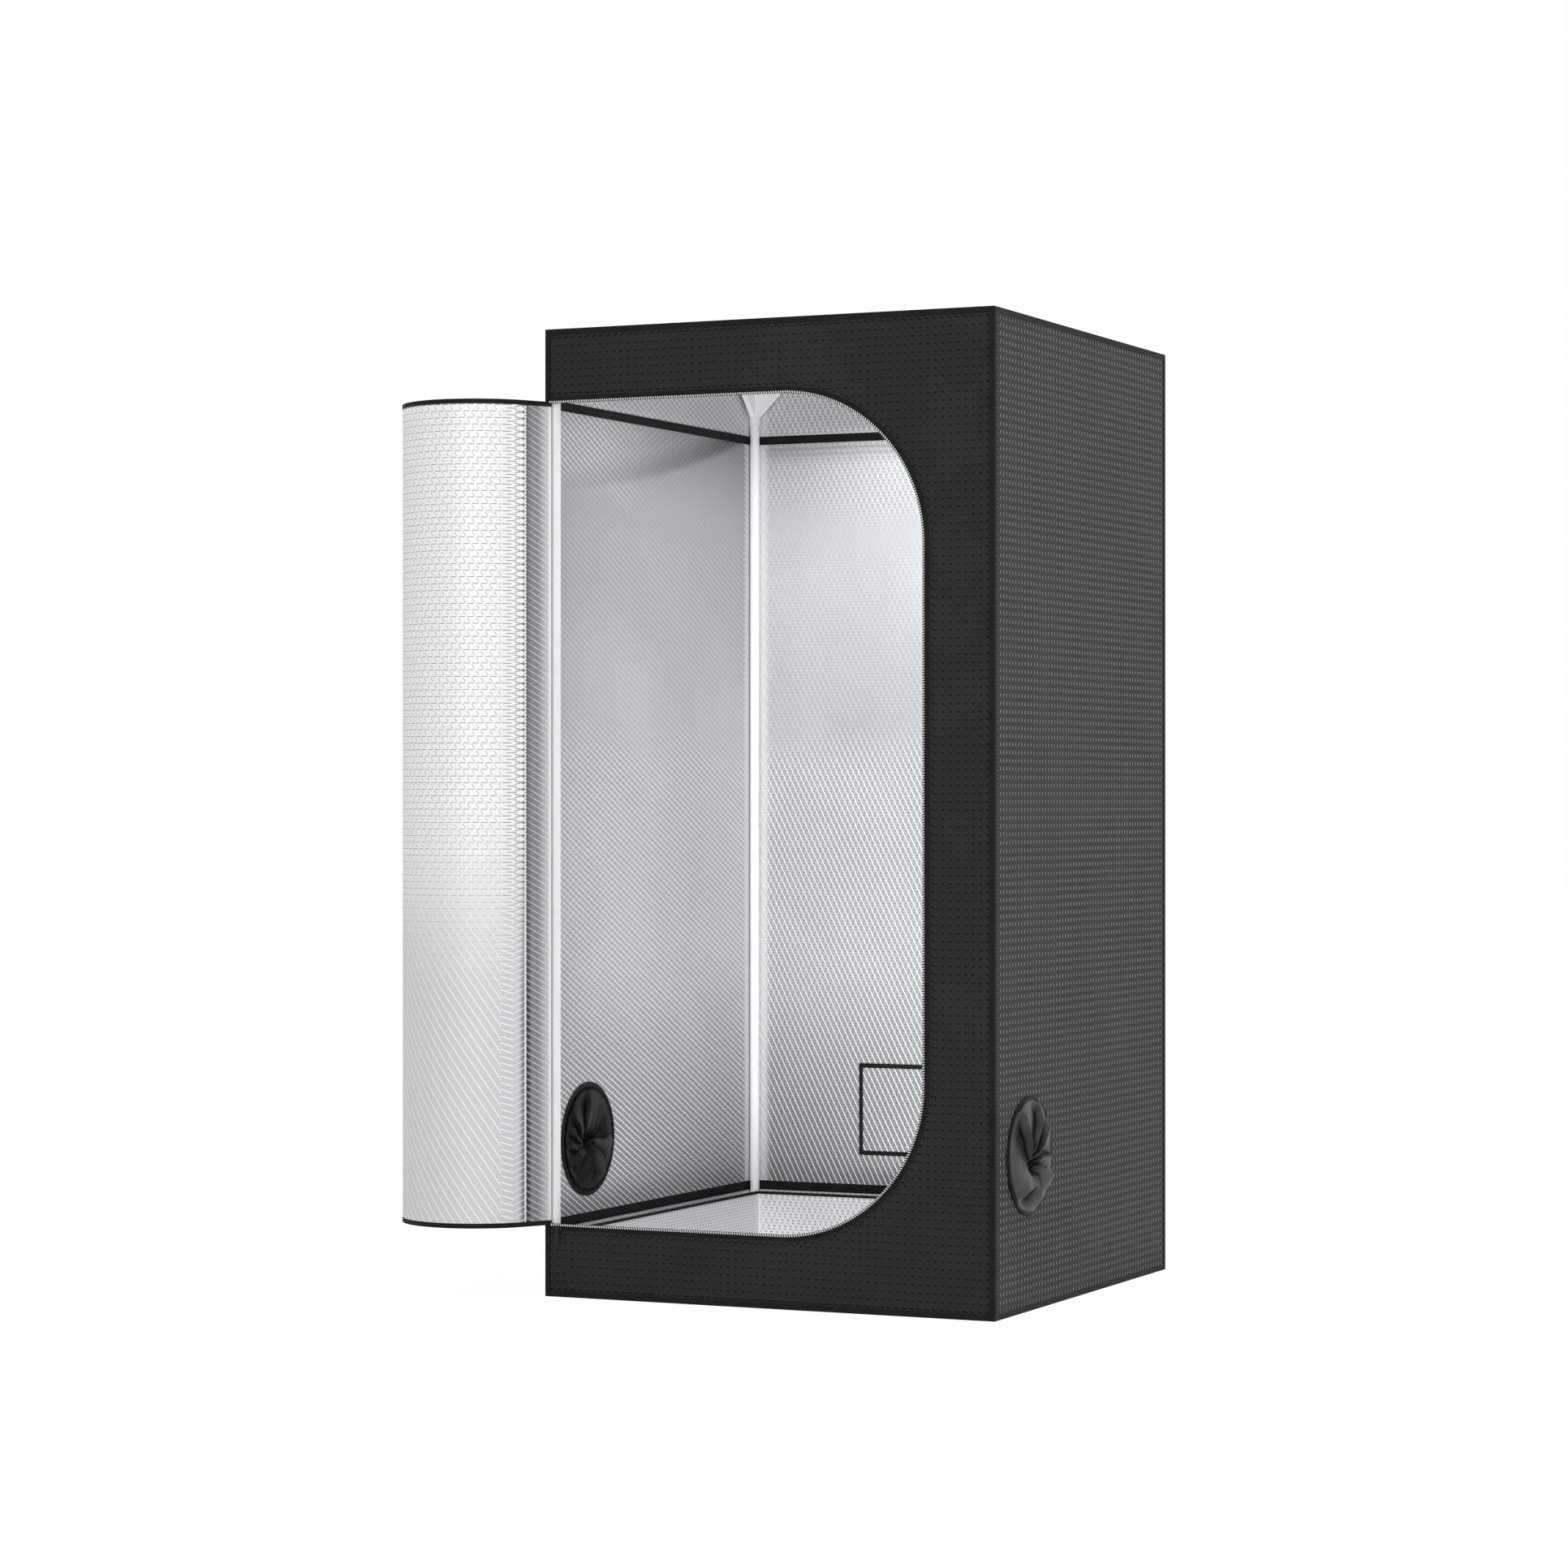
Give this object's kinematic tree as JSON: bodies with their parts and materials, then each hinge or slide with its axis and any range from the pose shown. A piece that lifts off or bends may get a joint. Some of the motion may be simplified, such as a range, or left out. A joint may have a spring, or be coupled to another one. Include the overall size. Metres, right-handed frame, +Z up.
{
  "type": "grow tent",
  "caption": "Square indoor grow tent on a steel pole frame, black outside and reflective inside, with a zip door rolled open at the left, duct ports and a spill tray.",
  "frame": {"origin": "on the floor, under the middle of the tent's square base", "axes": "+X to the right along the front face, +Y to the back, +Z up"},
  "size_m": [1.0873, 0.9177, 1.6304],
  "materials": {
    "outer_cloth": "black dimpled woven cloth, dull",
    "mylar_lining": "silver film with an embossed triangular lattice",
    "pole_steel": "white powder coat, semi-gloss",
    "corner_plastic": "white moulded plastic",
    "black_trim": "black webbing tape, fine rib",
    "sock_cloth": "smooth black nylon, slight sheen",
    "vent_net": "black insect net",
    "zip_metal": "dark grey zip slider"
  },
  "bodies": {
    "tent_body": {"upright_front_left": "pole_steel", "upright_front_right": "pole_steel", "upright_rear_left": "pole_steel", "upright_rear_right": "pole_steel", "bottom_rail_front": "pole_steel", "bottom_rail_rear": "pole_steel", "bottom_rail_left": "pole_steel", "bottom_rail_right": "pole_steel", "top_rail_front": "pole_steel", "top_rail_rear": "pole_steel", "top_rail_left": "pole_steel", "top_rail_right": "pole_steel", "corner_bottom_front_left": "corner_plastic", "corner_bottom_front_right": "corner_plastic", "corner_bottom_rear_left": "corner_plastic", "corner_bottom_rear_right": "corner_plastic", "corner_top_front_left": "corner_plastic", "corner_top_front_right": "corner_plastic", "corner_top_rear_left": "corner_plastic", "corner_top_rear_right": "corner_plastic", "front_panel": "outer_cloth", "back_wall": "outer_cloth", "left_wall": "outer_cloth", "right_wall": "outer_cloth", "roof_panel": "outer_cloth", "floor_panel": "mylar_lining", "spill_tray": "mylar_lining", "left_port_collar": "black_trim", "left_port_outer_sock": "sock_cloth", "left_port_inner_sock": "sock_cloth", "right_port_collar": "black_trim", "right_port_outer_sock": "sock_cloth", "right_port_inner_sock": "sock_cloth", "roof_port_collar": "black_trim", "roof_port_outer_sock": "sock_cloth", "roof_port_inner_sock": "sock_cloth", "rear_vent_net": "vent_net", "rear_vent_frame": "black_trim"},
    "door_leaf_01": {"door_strip_01": "mylar_lining"},
    "door_leaf_02": {"door_strip_02": "mylar_lining"},
    "door_leaf_03": {"door_strip_03": "mylar_lining"},
    "door_leaf_04": {"door_strip_04": "mylar_lining"},
    "door_leaf_05": {"door_strip_05": "mylar_lining"},
    "door_leaf_06": {"door_strip_06": "mylar_lining"},
    "door_leaf_07": {"door_strip_07": "mylar_lining"},
    "door_leaf_08": {"door_strip_08": "mylar_lining"},
    "door_leaf_09": {"door_strip_09": "mylar_lining"},
    "door_leaf_10": {"door_strip_10": "mylar_lining"},
    "door_leaf_11": {"door_strip_11": "mylar_lining"},
    "door_leaf_12": {"door_strip_12": "mylar_lining"},
    "front_hanging_bar": {"hanging_bar_front": "pole_steel", "bar_hook_front_left": "pole_steel", "bar_hook_front_right": "pole_steel"},
    "rear_hanging_bar": {"hanging_bar_rear": "pole_steel", "bar_hook_rear_left": "pole_steel", "bar_hook_rear_right": "pole_steel"},
    "vent_flap": {"rear_vent_flap": "mylar_lining"},
    "slider": {"zip_slider": "zip_metal"},
    "pull_tab": {"zip_pull_tab": "zip_metal"}
  },
  "joints": [
    {"name": "door_fold_01", "type": "hinge", "parent": "tent_body", "child": "door_leaf_01", "pos_m": [-0.389, -0.399, 0.8], "axis": [0, 0, 1], "range_deg": [0, 117.5]},
    {"name": "door_fold_02", "type": "hinge", "parent": "door_leaf_01", "child": "door_leaf_02", "pos_m": [-0.41474, -0.44845, 0.8], "axis": [0, 0, 1], "range_deg": [0, 13.2]},
    {"name": "door_fold_03", "type": "hinge", "parent": "door_leaf_02", "child": "door_leaf_03", "pos_m": [-0.45065, -0.4911, 0.8], "axis": [0, 0, 1], "range_deg": [0, 25.8]},
    {"name": "door_fold_04", "type": "hinge", "parent": "door_leaf_03", "child": "door_leaf_04", "pos_m": [-0.50128, -0.51442, 0.8], "axis": [0, 0, 1], "range_deg": [0, 25.8]},
    {"name": "door_fold_05", "type": "hinge", "parent": "door_leaf_04", "child": "door_leaf_05", "pos_m": [-0.55703, -0.51398, 0.8], "axis": [0, 0, 1], "range_deg": [0, 25.8]},
    {"name": "door_fold_06", "type": "hinge", "parent": "door_leaf_05", "child": "door_leaf_06", "pos_m": [-0.60729, -0.48986, 0.8], "axis": [0, 0, 1], "range_deg": [0, 25.8]},
    {"name": "door_fold_07", "type": "hinge", "parent": "door_leaf_06", "child": "door_leaf_07", "pos_m": [-0.64252, -0.44664, 0.8], "axis": [0, 0, 1], "range_deg": [0, 25.8]},
    {"name": "door_fold_08", "type": "hinge", "parent": "door_leaf_07", "child": "door_leaf_08", "pos_m": [-0.656, -0.39255, 0.8], "axis": [0, 0, 1], "range_deg": [0, 25.8]},
    {"name": "door_fold_09", "type": "hinge", "parent": "door_leaf_08", "child": "door_leaf_09", "pos_m": [-0.64519, -0.33786, 0.8], "axis": [0, 0, 1], "range_deg": [0, 25.8]},
    {"name": "door_fold_10", "type": "hinge", "parent": "door_leaf_09", "child": "door_leaf_10", "pos_m": [-0.61214, -0.29296, 0.8], "axis": [0, 0, 1], "range_deg": [0, 25.8]},
    {"name": "door_fold_11", "type": "hinge", "parent": "door_leaf_10", "child": "door_leaf_11", "pos_m": [-0.56312, -0.2664, 0.8], "axis": [0, 0, 1], "range_deg": [0, 25.8]},
    {"name": "door_fold_12", "type": "hinge", "parent": "door_leaf_11", "child": "door_leaf_12", "pos_m": [-0.50746, -0.26322, 0.8], "axis": [0, 0, 1], "range_deg": [0, 25.8]},
    {"name": "front_bar_slide", "type": "slide", "parent": "tent_body", "child": "front_hanging_bar", "axis": [0, 1, 0], "range_m": [-0.15, 0.1]},
    {"name": "rear_bar_slide", "type": "slide", "parent": "tent_body", "child": "rear_hanging_bar", "axis": [0, 1, 0], "range_m": [-0.1, 0.15]},
    {"name": "vent_flap_hinge", "type": "hinge", "parent": "tent_body", "child": "vent_flap", "pos_m": [0, 0.3957, 0.345], "axis": [-1, 0, 0], "range_deg": [0, 170]},
    {"name": "zip_slide", "type": "slide", "parent": "tent_body", "child": "slider", "axis": [1, 0, 0], "range_m": [0, 0.4]},
    {"name": "pull_tab_hinge", "type": "hinge", "parent": "slider", "child": "pull_tab", "pos_m": [-0.375, -0.4078, 0.1135], "axis": [-1, 0, 0], "range_deg": [0, 90]}
  ],
  "couplings": [
    {"joint": "door_fold_02", "follows": "door_fold_01", "ratio": 0.10716},
    {"joint": "door_fold_03", "follows": "door_fold_01", "ratio": 0.21431},
    {"joint": "door_fold_04", "follows": "door_fold_01", "ratio": 0.21431},
    {"joint": "door_fold_05", "follows": "door_fold_01", "ratio": 0.21431},
    {"joint": "door_fold_06", "follows": "door_fold_01", "ratio": 0.21431},
    {"joint": "door_fold_07", "follows": "door_fold_01", "ratio": 0.21431},
    {"joint": "door_fold_08", "follows": "door_fold_01", "ratio": 0.21431},
    {"joint": "door_fold_09", "follows": "door_fold_01", "ratio": 0.21431},
    {"joint": "door_fold_10", "follows": "door_fold_01", "ratio": 0.21431},
    {"joint": "door_fold_11", "follows": "door_fold_01", "ratio": 0.21431},
    {"joint": "door_fold_12", "follows": "door_fold_01", "ratio": 0.21431}
  ]
}
